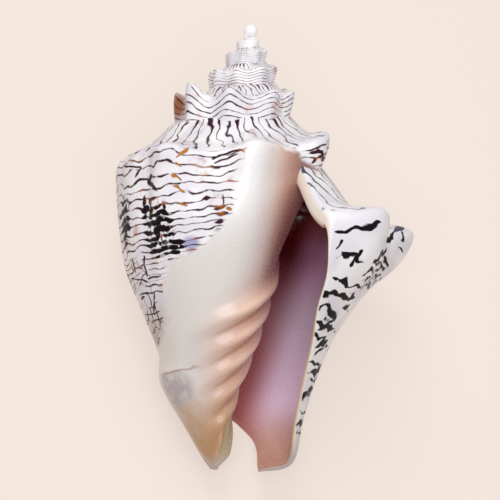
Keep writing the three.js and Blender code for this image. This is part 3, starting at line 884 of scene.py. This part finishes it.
def marked_outside(s, colours):
    """The lettered outside: its colour, and where the ink lies."""
    w = s.weave
    pool, blot = ink_pools(s)
    dark, rusty = single_strokes(s)
    lines = w.most(spiral_lines(s, pool, blot), ramp_rays(s))
    ink = most_of(w, lines, back_letters(s), brick_net(s, pool), dark, rusty)
    unglazed = w.mul(w.math("SUBTRACT", 1.0, s.bare), w.rise(s.side, *OUTER_SIDE))
    ink = product(w, ink, unglazed, w.rise(s.turn, *MARKED_FROM))
    smear = product(w, w.rise(s.patch, *SMEAR_PATCHES), w.rise(s.quick, *SMEAR_SPOTS), SMEAR_SHARE)
    ground = s.layered(colours.ground, [
        (w.rise(s.slow, *SHADE_PATCHES), colours.shade),
        (w.mul(w.rise(s.stripe, *FOOT_BELOW), w.rise(s.turn, *FOOT_FROM)), colours.foot),
        (w.mul(smear, w.rise(s.turn, *SMEARS_TO)), colours.rust),
        (product(w, s.oval(*BLUE_PATCH), s.facing, BLUE_SHARE), colours.blue),
        (w.mul(s.oval(*BROWN_KNOB), w.rise(s.turn, *BROWN_KNOB_TO)), colours.rust),
    ])
    on_right = w.most(w.rise(s.turn, *SLATE_FROM), w.rise(s.across, *SLATE_ACROSS))
    ink_colour = s.layered(colours.ink, [
        (w.mul(w.rise(s.patch, *RUST_PATCHES), w.rise(s.stripe, *RUST_BELOW)), colours.rust),
        (w.most(w.rise(blot, *BLACK_BLOTS), w.rise(s.turn, *BLACK_FROM)), colours.black),
        (rusty, colours.amber),
        (w.mul(w.rise(s.stripe, *SLATE_ABOVE), on_right), colours.slate),
        (w.rise(s.turn, *DUSK_TURNS, 0.0, DUSK_SHARE), colours.dusk),
    ])
    return w.tint(ink, ground, ink_colour), ink


# The callus, from its upper end down. Warmth comes in before a turn that moves on further down.
CREAM_BELOW = (180.0, 270.0)
WARM_FROM, WARM_MOVES, WARM_MOVES_BELOW = 5.23, 0.14, (250.0, 345.0)
WARM_WIDTH, WARM_WIDENS_BELOW = (0.09, 0.17), (200.0, 330.0)
# Painted shade in the creases below the folds, read from the fold fact.
CREASE_SHADE_SHOWS, CREASE_SHADE_SHARE = (-0.05, -0.7), 0.75
# Painted highlight on the crests of the folds.
CREST_HIGHLIGHT_SHOWS, CREST_HIGHLIGHT_SHARE = (0.3, 0.9), 0.6
OCHRE_BELOW, OCHRE_WAVER = (365.0, 450.0), 50.0
STREAKS_A_TURN, STREAKS_ALONG, STREAK_SPOTS, STREAK_SHARE = 40.0, 9.0, (0.5, 0.66), 0.6
OLIVE_FROM, OLIVE_BELOW = (5.21, 5.17), (405.0, 425.0)
TIP_BELOW, TIP_SHARE = (452.0, 466.0), 0.8
# The step above the grey band on the lower left: a slanting line, and the band below it.
STEP_SLOPE, STEP_DOWN, STEP_WAVER = 0.23, 411.0, 5.0
STEP_LINE, STEP_ENDS, STEP_SHARE = (1.6, 0.4), (206.0, 190.0), 0.6
BAND, BAND_EDGE, BAND_TOP = (170, 389, 26, 22), 0.6, (-1.0, 1.0)
BAND_SPOTS, BAND_SHARES = (0.35, 0.6), (0.5, 0.95)
# Painted shade towards the aperture, and deep inside, where the darker clay and maroon are partly the
# shell's own colour and partly painted shade.
APERTURE_SHADE_FROM, APERTURE_SHADE_ABOVE = (5.19, 5.11), (320.0, 235.0)
DEEP_CLAY_AND_SHADE_FROM = (5.04, 4.9)
MAROON_AND_SHADE_FROM, MAROON_AND_SHADE_ABOVE = (5.02, 4.85), (330.0, 240.0)


def callus_glaze(s, colours):
    """The callus warms towards the aperture, and the pillar turns ochre towards its end."""
    w = s.weave
    warm_from = w.add(WARM_FROM, w.mul(w.rise(s.down, *WARM_MOVES_BELOW), WARM_MOVES))
    warm = w.rise(w.sub(warm_from, s.turn), 0.0, w.rise(s.down, *WARM_WIDENS_BELOW, *WARM_WIDTH))
    low = w.rise(w.add(s.down, s.swing(s.sway, OCHRE_WAVER)), *OCHRE_BELOW)
    streak = w.noise(w.combine(w.mul(s.turn, STREAKS_A_TURN), w.mul(s.along, STREAKS_ALONG)), 1.0)
    slanted = w.sub(w.add(s.down, w.mul(s.across, STEP_SLOPE)), STEP_DOWN)
    below_step = w.add(slanted, s.swing(s.quick, STEP_WAVER))
    band = product(w, s.oval(*BAND, BAND_EDGE), s.facing, w.rise(below_step, *BAND_TOP))
    step = w.rise(w.math("ABSOLUTE", below_step), *STEP_LINE)
    step = product(w, step, s.facing, w.rise(s.across, *STEP_ENDS))
    return s.layered(w.tint(w.rise(s.down, *CREAM_BELOW), colours.glaze, colours.cream), [
        (warm, colours.peach),
        # painted shade in the creases below the folds
        (w.rise(s.fold, *CREASE_SHADE_SHOWS, 0.0, CREASE_SHADE_SHARE), colours.crease),
        # painted highlight on the crests of the folds
        (w.rise(s.fold, *CREST_HIGHLIGHT_SHOWS, 0.0, CREST_HIGHLIGHT_SHARE), colours.crest),
        (low, colours.ochre),
        (product(w, w.rise(streak, *STREAK_SPOTS), low, STREAK_SHARE), colours.peach),
        (w.mul(w.rise(s.turn, *OLIVE_FROM), w.rise(s.down, *OLIVE_BELOW)), colours.olive),
        (w.mul(w.rise(s.down, *TIP_BELOW), TIP_SHARE), colours.foot),
        (w.mul(band, w.rise(s.quick, *BAND_SPOTS, *BAND_SHARES)), colours.fasciole),
        (w.mul(step, STEP_SHARE), colours.umber_and_shade),
        # painted shade on the callus towards the aperture, at its upper end
        (w.mul(w.rise(s.turn, *APERTURE_SHADE_FROM), w.rise(s.down, *APERTURE_SHADE_ABOVE)), colours.umber_and_shade),
        # deeper inside, clay that is partly the shell's colour and partly painted shade
        (w.rise(s.turn, *DEEP_CLAY_AND_SHADE_FROM), colours.clay),
        # maroon deep inside, partly the shell's colour and partly painted shade
        (w.mul(w.rise(s.turn, *MAROON_AND_SHADE_FROM), w.rise(s.down, *MAROON_AND_SHADE_ABOVE)), colours.maroon_and_shade),
    ])


THROAT_DOWN = (190.0, 470.0)
THROAT_STOPS = (("rouge", 0.0), ("mauve", 0.14), ("lilac", 0.42), ("lilac", 0.84), ("clay", 1.0))
# The pillar's right edge, a slanting line that the throat's redder colours follow.
PILLAR_SLOPE, PILLAR_ACROSS = 0.303, 359.6
ROUGE_REACH, ROUGE_BELOW, ROUGE_SHARES = (42.0, 2.0), (270.0, 370.0), (0.7, 0.9)
MAROON_AND_SHADE_REACH = (34.0, 6.0)
FLANGE_FROM, FLANGE_ABOVE = (6.07, 6.11), (245.0, 205.0)


def throat_colour(s, colours):
    """Maroon, partly the throat's colour and partly painted shade, at the top and by the pillar, lilac
    towards the lip.
    """
    w = s.weave
    stops = [(at, getattr(colours, name)) for name, at in THROAT_STOPS]
    from_pillar = w.sub(w.add(s.across, w.mul(s.down, PILLAR_SLOPE)), PILLAR_ACROSS)
    beside = w.mul(w.rise(from_pillar, *ROUGE_REACH), w.rise(s.down, *ROUGE_BELOW, *ROUGE_SHARES))
    return s.layered(w.ramp(w.rise(s.down, *THROAT_DOWN), stops), [
        (beside, colours.rouge),
        # maroon by the pillar at the top of the throat, partly painted shade
        (w.mul(w.rise(from_pillar, *MAROON_AND_SHADE_REACH), w.rise(s.down, *MAROON_AND_SHADE_ABOVE)), colours.maroon_and_shade),
        (w.mul(w.rise(s.turn, *FLANGE_FROM), w.rise(s.down, *FLANGE_ABOVE)), colours.rim),
    ])


RIM_OUTER, RIM_INNER = (0.1, 0.35), (0.95, 0.6)
TAN_BELOW, WORN_BELOW = (280.0, 340.0), (435.0, 455.0)
ROUGHNESS, ROUGHNESS_SPOTS = (0.4, 0.22), 0.12  # of the lettered outside and of the glaze
SPECULAR = (0.4, 0.08)  # off the ink and on it
COAT, COAT_ROUGHNESS = 0.25, 0.12
# Fine growth lines, as a bump: waves in a turn and along the profile, strength and height.
GROWTH_WAVES, GROWTH_WAVES_ALONG = 150.0, 5.0
BUMP_STRENGTH, BUMP_HEIGHT = 0.25, 0.0004
BUMP_ON_GLAZE, GRAIN_SHARE = 0.15, 0.05


def relief_of(s, smoothest):
    """Growth lines and a fine grain, faint on the glaze and in the throat."""
    w = s.weave
    growth = w.noise(w.combine(w.mul(s.turn, GROWTH_WAVES), w.mul(s.along, GROWTH_WAVES_ALONG)), 1.0)
    growth = w.mul(growth, w.rise(smoothest, 0.0, 1.0, 1.0, BUMP_ON_GLAZE))
    bump = w.node("ShaderNodeBump")
    bump.inputs["Strength"].default_value = BUMP_STRENGTH
    bump.inputs["Distance"].default_value = BUMP_HEIGHT
    link(w.tree, bump.inputs["Height"], w.add(growth, w.mul(s.grain, GRAIN_SHARE)))
    return bump.outputs[0]


def enamel(colours, size):
    """The shell's one finish: lettered outside, smooth callus, lilac throat."""
    material = bpy.data.materials.new("shell_enamel")
    material.use_nodes = True
    tree = material.node_tree
    w = Weave(tree)
    s = Surface(w, size.length / LENGTH_UNITS)
    outside, ink = marked_outside(s, colours)
    rim = w.mul(w.rise(s.side, *RIM_OUTER), w.rise(s.side, *RIM_INNER))
    rim_colour = s.layered(colours.rim, [
        (w.rise(s.down, *TAN_BELOW), colours.tan), (w.rise(s.down, *WORN_BELOW), colours.fasciole)])
    colour = s.layered(outside, [
        (s.bare, callus_glaze(s, colours)), (s.inside, throat_colour(s, colours)), (rim, rim_colour)])
    smoothest = w.most(s.bare, s.inside)
    spots = w.mul(w.rise(s.fine, *NOISE_SPAN), ROUGHNESS_SPOTS)
    shader = tree.nodes["Principled BSDF"]
    for name, value in (
            ("Base Color", colour),
            ("Roughness", w.add(spots, w.rise(smoothest, 0.0, 1.0, *ROUGHNESS))),
            ("Specular IOR Level", w.rise(ink, 0.0, 1.0, *SPECULAR)),
            ("Coat Weight", w.rise(smoothest, 0.0, 1.0, 0.0, COAT)),
            ("Coat Roughness", COAT_ROUGHNESS),
            ("Normal", relief_of(s, smoothest))):
        link(tree, shader.inputs[name], value)
    return material


# The raised growth lines: waves along the profile, and where they fade out.
GROWTH_ALONG = 4.0
GROWTH_SIDE = (0.2, 0.0)
GROWTH_CALLUS, GROWTH_ON_CALLUS = (6.0, -8.0), 0.2
GROWTH_TURNS, GROWTH_ON_SPIRE = (2.5, 5.0), 0.25


def growth_tree(pieces):
    """Geometry nodes: raise the growth lines, then join the stretches into one skin."""
    tree = bpy.data.node_groups.new("join_whorls", "GeometryNodeTree")
    face = tree.interface
    face.new_socket("Geometry", in_out="INPUT", socket_type="NodeSocketGeometry")
    sockets = {}
    for name, kind in (
            ("Growth line height", "NodeSocketFloat"), ("Growth lines a turn", "NodeSocketFloat"),
            ("Growth seed", "NodeSocketFloat"), ("Finish", "NodeSocketMaterial")):
        sockets[name] = face.new_socket(name, in_out="INPUT", socket_type=kind).identifier
    face.new_socket("Geometry", in_out="OUTPUT", socket_type="NodeSocketGeometry")
    w = Weave(tree)
    given = w.node("NodeGroupInput")
    result = w.node("NodeGroupOutput")

    def fact(name, kind="FLOAT"):
        made = w.node("GeometryNodeInputNamedAttribute", data_type=kind)
        made.inputs["Name"].default_value = name
        return made.outputs["Attribute"]

    wave = w.node("ShaderNodeTexNoise", noise_dimensions="4D")
    rate = w.mul(fact("turn"), given.outputs["Growth lines a turn"])
    link(tree, wave.inputs["Vector"], w.combine(rate, w.mul(fact("along"), GROWTH_ALONG)))
    link(tree, wave.inputs["W"], given.outputs["Growth seed"])
    wave.inputs["Scale"].default_value = 1.0
    lift = w.mul(w.sub(wave.outputs[0], 0.5), given.outputs["Growth line height"])
    lift = w.mul(lift, w.rise(fact("side"), *GROWTH_SIDE))
    lift = w.mul(lift, w.rise(fact("callus"), *GROWTH_CALLUS, GROWTH_ON_CALLUS, 1.0))
    lift = w.mul(lift, w.rise(fact("turn"), *GROWTH_TURNS, GROWTH_ON_SPIRE, 1.0))
    offset = w.node("ShaderNodeVectorMath", operation="SCALE")
    tree.links.new(w.node("GeometryNodeInputNormal").outputs[0], offset.inputs[0])
    link(tree, offset.inputs["Scale"], lift)
    relief = w.node("GeometryNodeSetPosition")
    tree.links.new(given.outputs["Geometry"], relief.inputs["Geometry"])
    tree.links.new(offset.outputs[0], relief.inputs["Offset"])

    join = w.node("GeometryNodeMeshBoolean", operation="UNION", solver="MANIFOLD")
    for piece in range(pieces):
        same = w.node("FunctionNodeCompare", data_type="INT", operation="EQUAL")
        tree.links.new(fact("piece", "INT"), same.inputs[2])
        same.inputs[3].default_value = piece
        part = w.node("GeometryNodeSeparateGeometry", domain="FACE")
        tree.links.new(relief.outputs[0], part.inputs["Geometry"])
        tree.links.new(same.outputs[0], part.inputs["Selection"])
        tree.links.new(part.outputs["Selection"], join.inputs[1])
    realize = w.node("GeometryNodeRealizeInstances")
    tree.links.new(join.outputs["Mesh"], realize.inputs[0])
    finish = w.node("GeometryNodeSetMaterial")
    tree.links.new(realize.outputs[0], finish.inputs["Geometry"])
    tree.links.new(given.outputs["Finish"], finish.inputs["Material"])
    tree.links.new(finish.outputs[0], result.inputs[0])
    return tree, sockets


def mesh_of(skin, unit):
    """The stretches as one mesh, with their facts on the corners, which joining keeps."""
    mesh = bpy.data.meshes.new("stretches")
    mesh.from_pydata(lay(np.concatenate(skin.points), unit), [], skin.faces)
    corner = np.empty(len(mesh.loops), np.int32)
    mesh.loops.foreach_get("vertex_index", corner)
    for name, values in skin.facts.items():
        fact = mesh.attributes.new(name, "FLOAT", "CORNER")
        fact.data.foreach_set("value", np.concatenate(values)[corner].astype(np.float32))
    piece = mesh.attributes.new("piece", "INT", "FACE")
    piece.data.foreach_set("value", np.asarray(skin.piece, np.int32))
    return mesh


SAME_POINT = 2e-6  # in metres: points closer than this are one
SHARP_EDGE = math.radians(50)


def keep_outer_body(mesh):
    """Drops the pockets that joining seals between old whorls."""
    work = bmesh.new()
    work.from_mesh(mesh)
    work.verts.ensure_lookup_table()
    seen, groups = set(), []
    for vert in work.verts:
        if vert in seen:
            continue
        group, queue = [], [vert]
        seen.add(vert)
        while queue:
            at = queue.pop()
            group.append(at)
            for edge in at.link_edges:
                other = edge.other_vert(at)
                if other not in seen:
                    seen.add(other)
                    queue.append(other)
        groups.append(group)
    groups.sort(key=len)
    for group in groups[:-1]:
        bmesh.ops.delete(work, geom=group, context="VERTS")
    bmesh.ops.remove_doubles(work, verts=work.verts, dist=SAME_POINT)
    bmesh.ops.dissolve_degenerate(work, edges=work.edges, dist=SAME_POINT)
    work.to_mesh(mesh)
    work.free()


class ShellSize(bpy.types.PropertyGroup):
    """Sizes of the shell."""

    length: bpy.props.FloatProperty(
        name="Length", description="From the apex to the lower end, along the axis", default=0.15,
        min=0.05, max=0.4, subtype="DISTANCE", unit="LENGTH")
    wall: bpy.props.FloatProperty(
        name="Wall", description="Thickness of the wall, in 441sts of the length", default=7.0)
    knob_height: bpy.props.FloatProperty(
        name="Knobs", description="How far the knobs stand out, of the shoulder's radius", default=0.14)
    fold_height: bpy.props.FloatProperty(
        name="Folds", description="How far the pillar's folds stand out, in 441sts of the length",
        default=10.5)
    growth_height: bpy.props.FloatProperty(
        name="Growth lines", description="Height of the raised growth lines", default=0.0005,
        subtype="DISTANCE", unit="LENGTH", precision=5)
    growth_lines: bpy.props.FloatProperty(
        name="Growth lines a turn", description="How many growth lines there are in one turn", default=46.0)
    growth_seed: bpy.props.FloatProperty(
        name="Growth seed", description="Which of many growth patterns is used", default=3.0)


def colour_property(name, description, *rgb):
    return bpy.props.FloatVectorProperty(
        name=name, description=description, subtype="COLOR", size=4, min=0, max=1, default=tone(*rgb))


class ShellColours(bpy.types.PropertyGroup):
    """Colours of the shell's finish."""

    ground: colour_property("Ground", "White of the outside", 243, 241, 244)
    shade: colour_property("Shade", "Greyer white of the outside", 226, 222, 230)
    foot: colour_property("Foot", "Grey of the band round the lower end", 190, 176, 174)
    ink: colour_property("Ink", "Dark lines", 58, 22, 34)
    rust: colour_property("Rust", "Lighter, rusty lines", 150, 84, 36)
    amber: colour_property("Amber", "Yellowest strokes", 176, 112, 40)
    black: colour_property("Black", "Darkest strokes", 22, 16, 22)
    blue: colour_property("Blue", "Bluish patch on the left", 128, 128, 186)
    slate: colour_property("Slate", "Lines on the lip's ramp", 74, 76, 96)
    dusk: colour_property("Dusk", "Paler lines of the upper whorls", 128, 104, 92)
    glaze: colour_property("Glaze", "Callus at its upper end", 240, 238, 238)
    cream: colour_property("Cream", "Middle of the callus", 224, 219, 216)
    peach: colour_property("Peach", "Callus towards the aperture", 212, 170, 152)
    # Crest is a painted highlight on the tops of the folds.
    crest: colour_property("Crest", "Tops of the folds", 246, 214, 192)
    # Crease is painted shade in the creases below the folds.
    crease: colour_property("Crease", "Creases below the folds", 186, 128, 96)
    # Umber is painted shade on the callus towards the aperture, and the colour of the step line.
    umber_and_shade: colour_property("Umber", "Shaded upper edge of the callus", 152, 108, 100)
    ochre: colour_property("Ochre", "Lower end of the pillar", 186, 144, 102)
    olive: colour_property("Olive", "Right face of the pillar's end", 188, 174, 138)
    fasciole: colour_property("Fasciole", "Grey band on the lower left", 176, 166, 168)
    # Maroon deep in the aperture is partly the throat's own colour and partly painted shade.
    maroon_and_shade: colour_property("Maroon", "Deep in the aperture", 104, 16, 20)
    rouge: colour_property("Rouge", "Throat beside the pillar", 178, 86, 78)
    mauve: colour_property("Mauve", "Middle of the throat", 234, 166, 208)
    lilac: colour_property("Lilac", "Lower part of the throat", 244, 214, 240)
    # Clay is the throat's lower edge, and deep inside the callus partly painted shade.
    clay: colour_property("Clay", "Throat's lower edge", 196, 150, 132)
    tan: colour_property("Tan", "Lower edge of the lip", 214, 190, 146)
    rim: colour_property("Rim", "Edge of the lip", 238, 226, 212)


class StageLook(bpy.types.PropertyGroup):
    """Floor and light of the studio."""

    floor: colour_property("Floor", "Colour of the floor", 245, 232, 223)
    key: bpy.props.FloatProperty(
        name="Key light", description="Power of the key light", default=2.3, unit="POWER")
    front: bpy.props.FloatProperty(
        name="Front light", description="Power of the light beside the camera", default=3.9, unit="POWER")
    fill: bpy.props.FloatProperty(
        name="Fill light", description="Power of the fill light", default=0.5, unit="POWER")
    sky: bpy.props.FloatProperty(
        name="Sky", description="Strength of the even light all round", default=0.26)


class SHELL_OT_grow(bpy.types.Operator):
    """Grow the shell and give it its finish"""

    bl_idname = "shell.grow"
    bl_label = "Grow the shell"

    def execute(self, context):
        size, colours = context.scene.shell_size, context.scene.shell_colours
        unit = size.length / LENGTH_UNITS
        skin = grow(size)
        source = bpy.data.objects.new("stretches", mesh_of(skin, unit))
        context.scene.collection.objects.link(source)
        tree, sockets = growth_tree(skin.pieces)
        modifier = source.modifiers.new("join_whorls", "NODES")
        modifier.node_group = tree
        modifier[sockets["Growth line height"]] = size.growth_height
        modifier[sockets["Growth lines a turn"]] = size.growth_lines
        modifier[sockets["Growth seed"]] = size.growth_seed
        modifier[sockets["Finish"]] = enamel(colours, size)
        evaluated = source.evaluated_get(context.evaluated_depsgraph_get())
        mesh = bpy.data.meshes.new_from_object(evaluated)
        source.modifiers.remove(modifier)
        bpy.data.objects.remove(source)
        if not mesh.polygons:
            raise RuntimeError("the stretches of the shell did not join")
        keep_outer_body(mesh)
        mesh.name = "shell_skin"
        mesh.polygons.foreach_set("use_smooth", [True] * len(mesh.polygons))
        mesh.set_sharp_from_angle(angle=SHARP_EDGE)
        shell = bpy.data.objects.new("shell_skin", mesh)
        context.scene.collection.objects.link(shell)
        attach(shell, "root")
        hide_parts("shell")
        return {"FINISHED"}


CAMERA_AWAY = 1.5  # in metres
FRAME_UNITS = 500.0  # width of the picture, in length units
SENSOR = 36.0
FLOOR_HALF = 3.0
FLOOR_REFLECTS, FLOOR_GLOWS, FLOOR_ROUGHNESS = 0.27, 0.7, 0.9
SKY_COLOUR = (1.0, 0.98, 0.96, 1.0)
# Lights: across, down and front in length units, and width in metres. All aim at one point.
LIGHTS_AIM = (250, 240, 30)
LIGHTS = {
    "key": ((150, -1300, 1300), 0.4),
    "front": ((300, 150, 2600), 0.6),
    "fill": ((1500, 300, 1500), 0.7),
}


def upright_to_world(across, down, front, unit):
    """A point of the upright frame, in length units from the picture's corner, in the world."""
    point = Vector((across - APEX_ACROSS, APEX_DOWN - down, front))
    return LAY @ point * unit + APEX_PLACE


def area_light(name, place, aim, width, power):
    lamp = bpy.data.lights.new(name, "AREA")
    lamp.shape = "DISK"
    lamp.size = width
    lamp.energy = power
    made = bpy.data.objects.new(name, lamp)
    made.location = place
    made.rotation_euler = (Vector(aim) - Vector(place)).to_track_quat("-Z", "Y").to_euler()
    bpy.context.scene.collection.objects.link(made)
    return made


def floor_finish(look):
    material = bpy.data.materials.new("studio_floor")
    material.use_nodes = True
    shader = material.node_tree.nodes["Principled BSDF"]
    shader.inputs["Base Color"].default_value = [FLOOR_REFLECTS * v for v in look.floor[:3]] + [1.0]
    shader.inputs["Roughness"].default_value = FLOOR_ROUGHNESS
    shader.inputs["Specular IOR Level"].default_value = 0.0
    shader.inputs["Emission Color"].default_value = look.floor
    shader.inputs["Emission Strength"].default_value = FLOOR_GLOWS
    return material


class SHELL_OT_stage(bpy.types.Operator):
    """Set the floor, the lights and the camera"""

    bl_idname = "shell.stage"
    bl_label = "Set the stage"

    def execute(self, context):
        scene, look = context.scene, context.scene.shell_stage
        unit = scene.shell_size.length / LENGTH_UNITS
        half = FLOOR_HALF
        corners = [(-half, -half, 0), (half, -half, 0), (half, half, 0), (-half, half, 0)]
        mesh = bpy.data.meshes.new("studio_floor")
        mesh.from_pydata(corners, [], [(0, 1, 2, 3)])
        mesh.materials.append(floor_finish(look))
        ground = bpy.data.objects.new("studio_floor", mesh)
        scene.collection.objects.link(ground)

        aim = upright_to_world(*LIGHTS_AIM, unit)
        for name, (place_of, width) in LIGHTS.items():
            area_light(name + "_light", upright_to_world(*place_of, unit), aim, width, getattr(look, name))
        world = bpy.data.worlds.new("studio_sky")
        world.use_nodes = True
        sky = world.node_tree.nodes["Background"]
        sky.inputs["Color"].default_value = SKY_COLOUR
        sky.inputs["Strength"].default_value = look.sky
        scene.world = world
        scene.view_settings.view_transform = "Standard"

        camera = bpy.data.cameras.new("camera")
        camera.sensor_width = SENSOR
        camera.lens = SENSOR * CAMERA_AWAY / (FRAME_UNITS * unit)
        eye = bpy.data.objects.new("camera", camera)
        middle = FRAME_UNITS / 2
        eye_place = upright_to_world(middle, middle, CAMERA_AWAY / unit, unit)
        eye.matrix_world = Matrix.Translation(eye_place) @ LAY.to_4x4()
        scene.collection.objects.link(eye)
        scene.camera = eye
        return {"FINISHED"}


class SHELL_PT_panel(bpy.types.Panel):
    """The shell's sizes, colours and stage"""

    bl_label = "Volute shell"
    bl_space_type = "VIEW_3D"
    bl_region_type = "UI"
    bl_category = "Shell"

    def draw(self, context):
        for group in (context.scene.shell_size, context.scene.shell_colours, context.scene.shell_stage):
            box = self.layout.box()
            for name in group.__annotations__:
                box.prop(group, name)
        self.layout.operator(SHELL_OT_grow.bl_idname)
        self.layout.operator(SHELL_OT_stage.bl_idname)


CLASSES = (ShellSize, ShellColours, StageLook, SHELL_OT_grow, SHELL_OT_stage, SHELL_PT_panel)
GROUPS = {"shell_size": ShellSize, "shell_colours": ShellColours, "shell_stage": StageLook}


def register():
    for each in CLASSES:
        bpy.utils.register_class(each)
    for name, group in GROUPS.items():
        setattr(bpy.types.Scene, name, bpy.props.PointerProperty(type=group))


def unregister():
    for name in GROUPS:
        delattr(bpy.types.Scene, name)
    for each in reversed(CLASSES):
        bpy.utils.unregister_class(each)


def main():
    register()
    bpy.ops.shell.grow()
    bpy.ops.shell.stage()


if __name__ == "__main__":
    main()
